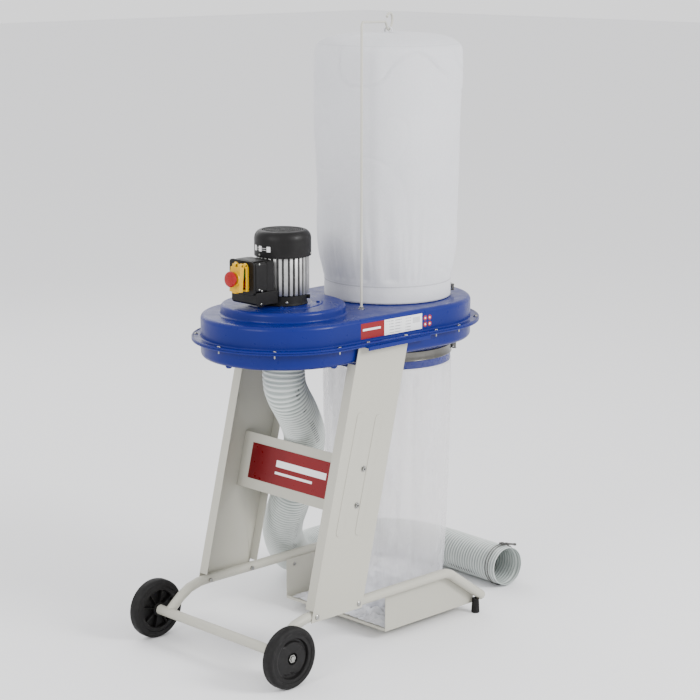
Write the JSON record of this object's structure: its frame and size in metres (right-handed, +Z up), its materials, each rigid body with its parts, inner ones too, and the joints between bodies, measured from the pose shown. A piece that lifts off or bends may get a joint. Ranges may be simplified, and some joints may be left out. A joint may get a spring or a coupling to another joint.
{
  "type": "dust collector",
  "caption": "Mobile workshop dust collector: fan housing on a wheeled sheet-metal stand, felt filter bag above, clear collection bag below, flexible suction hose.",
  "frame": {"origin": "on the floor under the middle of the stand and housing (the hose is not counted)", "axes": "+Z up, +X from the motor and wheel end to the bag end, -Y the side with the filter bag's support rod"},
  "size_m": [1.0738, 0.7069, 1.5457],
  "materials": {
    "blue_paint": "glossy blue enamel",
    "grey_paint": "warm light grey powder coat",
    "white_paint": "white enamel",
    "sign_red": "red printed plate",
    "zinc": "zinc plated",
    "steel": "plain steel",
    "cast_aluminium": "cast, matt",
    "copper_core": "laminated core with copper windings",
    "black_plastic": "moulded, semi-matt",
    "black_rubber": "moulded rubber",
    "yellow_plastic": "moulded, semi-gloss",
    "red_plastic": "moulded, glossy",
    "green_plastic": "moulded, glossy",
    "white_felt": "needle-punched felt",
    "clear_film": "clear polyethylene film",
    "hose_plastic": "translucent corrugated hose"
  },
  "bodies": {
    "frame": {"upper_housing": "blue_paint", "lower_housing": "blue_paint", "volute_strip": "blue_paint", "housing_bracket_near": "blue_paint", "housing_bracket_far": "blue_paint", "side_panel_near": "grey_paint", "side_panel_far": "grey_paint", "rail_near": "grey_paint", "rail_far": "grey_paint", "axle_tube": "grey_paint", "cross_panel": "grey_paint", "sign_plate": "sign_red", "rail_bolt_front_near": "zinc", "rail_bolt_front_far": "zinc", "rail_bolt_rear_near": "zinc", "rail_bolt_rear_far": "zinc", "base_tray": "grey_paint", "foot_near": "black_rubber", "foot_far": "black_rubber", "wheel_axle": "zinc", "axle_nut_near": "zinc", "axle_nut_far": "zinc", "motor_end_shield": "black_plastic", "motor_housing": "cast_aluminium", "motor_top_shield": "cast_aluminium", "fan_cowl": "black_plastic", "motor_stator": "copper_core", "lower_bearing": "steel", "upper_bearing": "steel", "terminal_box": "black_plastic", "switch_enclosure": "black_plastic", "capacitor_box": "black_plastic", "cable_gland": "black_plastic", "switch_lid": "black_plastic", "switch_frame": "yellow_plastic", "filter_bag": "white_felt", "filter_band": "steel", "bag_loop": "white_felt", "support_rod": "white_paint", "rod_arm": "white_paint", "collection_bag": "clear_film", "collection_band": "steel", "hose": "hose_plastic", "inlet_clamp": "zinc", "hose_end_clamp": "zinc"},
    "rotor": {"motor_shaft": "steel", "motor_rotor": "steel", "impeller": "steel", "impeller_nut": "zinc", "cooling_fan": "black_plastic"},
    "wheel_near": {"wheel_near": "black_plastic", "tyre_near": "black_rubber"},
    "wheel_far": {"wheel_far": "black_plastic", "tyre_far": "black_rubber"},
    "stop_flap": {"stop_flap": "yellow_plastic"},
    "stop_knob": {"stop_knob": "red_plastic"},
    "start_button": {"start_button": "green_plastic"},
    "stop_button": {"stop_button": "red_plastic"},
    "filter_band_lever": {"filter_band_lever": "steel"},
    "collection_band_lever": {"collection_band_lever": "steel"}
  },
  "joints": [
    {"name": "rotor_spin", "type": "hinge", "parent": "frame", "child": "rotor", "pos_m": [-0.154, 0, 0.9], "axis": [0, 0, 1], "continuous": true},
    {"name": "wheel_near_spin", "type": "hinge", "parent": "frame", "child": "wheel_near", "pos_m": [-0.369, -0.247, 0.075], "axis": [0, 1, 0], "continuous": true},
    {"name": "wheel_far_spin", "type": "hinge", "parent": "frame", "child": "wheel_far", "pos_m": [-0.369, 0.247, 0.075], "axis": [0, 1, 0], "continuous": true},
    {"name": "flap_hinge", "type": "hinge", "parent": "frame", "child": "stop_flap", "pos_m": [-0.301, -0.009, 0.9735], "axis": [0, 1, 0], "range_deg": [-4, 95]},
    {"name": "stop_knob_press", "type": "slide", "parent": "stop_flap", "child": "stop_knob", "axis": [0.9969, 0, -0.0785], "range_m": [0, 0.004], "stiffness_N_per_m": 300},
    {"name": "start_button_press", "type": "slide", "parent": "frame", "child": "start_button", "axis": [1, 0, 0], "range_m": [0, 0.0035], "stiffness_N_per_m": 300},
    {"name": "stop_button_press", "type": "slide", "parent": "frame", "child": "stop_button", "axis": [1, 0, 0], "range_m": [0, 0.0035], "stiffness_N_per_m": 300},
    {"name": "filter_band_latch", "type": "hinge", "parent": "frame", "child": "filter_band_lever", "pos_m": [0.32024, -0.12098, 0.856], "axis": [0, 0, -1], "range_deg": [0, 100]},
    {"name": "collection_band_latch", "type": "hinge", "parent": "frame", "child": "collection_band_lever", "pos_m": [0.32575, -0.12529, 0.705], "axis": [0, 0, -1], "range_deg": [0, 100]}
  ]
}
